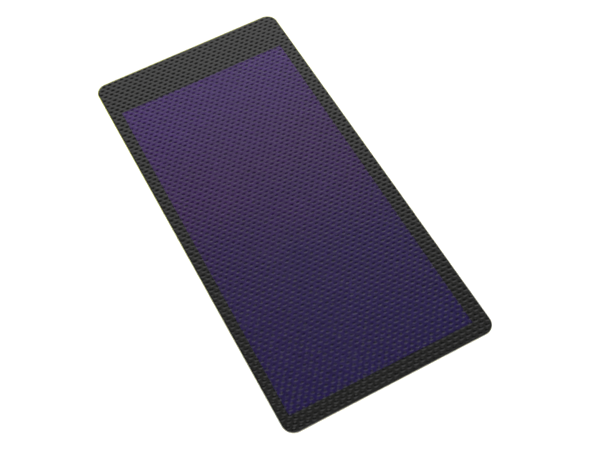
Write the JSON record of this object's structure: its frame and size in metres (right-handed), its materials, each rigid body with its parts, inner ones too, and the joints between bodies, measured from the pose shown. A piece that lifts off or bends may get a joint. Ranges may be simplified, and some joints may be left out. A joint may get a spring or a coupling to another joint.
{
  "type": "flexible solar sheet",
  "caption": "Thin flexible solar sheet: a dark thin-film cell field in a black border, laminated between films, with bare solder pads under one end.",
  "frame": {"origin": "middle of the underside of the laminate", "axes": "+Z out of the side that faces the light, +Y along the sheet towards the end with the terminals, +X across it"},
  "size_m": [0.09, 0.19, 0.001],
  "materials": {
    "clear_front_film": "satin, embossed with a fine woven-looking grain",
    "black_border_ink": "matte print",
    "clear_encapsulant": "clear, with a pale cut edge",
    "thin_film_cell": "dark violet thin-film coating",
    "conductive_ink": "matte printed silver ink",
    "polyimide_web": "amber foil",
    "tinned_copper": "satin tin plating",
    "solder": "smooth grey solder",
    "white_marking_ink": "matte print",
    "black_back_sheet": "satin polyester film"
  },
  "bodies": {
    "root": {"front_film": "clear_front_film", "border_print": "black_border_ink", "front_encapsulant": "clear_encapsulant", "cell_strip_01": "thin_film_cell", "cell_strip_02": "thin_film_cell", "cell_strip_03": "thin_film_cell", "cell_strip_04": "thin_film_cell", "cell_strip_05": "thin_film_cell", "cell_strip_06": "thin_film_cell", "cell_strip_07": "thin_film_cell", "cell_strip_08": "thin_film_cell", "cell_strip_09": "thin_film_cell", "cell_strip_10": "thin_film_cell", "series_links": "conductive_ink", "carrier_web": "polyimide_web", "negative_bus_adhesive": "conductive_ink", "negative_bus_ribbon": "tinned_copper", "negative_lead": "tinned_copper", "positive_bus_adhesive": "conductive_ink", "positive_bus_ribbon": "tinned_copper", "positive_lead": "tinned_copper", "solder_joints": "solder", "negative_terminal_pad": "tinned_copper", "positive_terminal_pad": "tinned_copper", "pad_tinning": "solder", "rear_encapsulant": "clear_encapsulant", "polarity_marks": "white_marking_ink", "back_sheet": "black_back_sheet"}
  },
  "joints": []
}
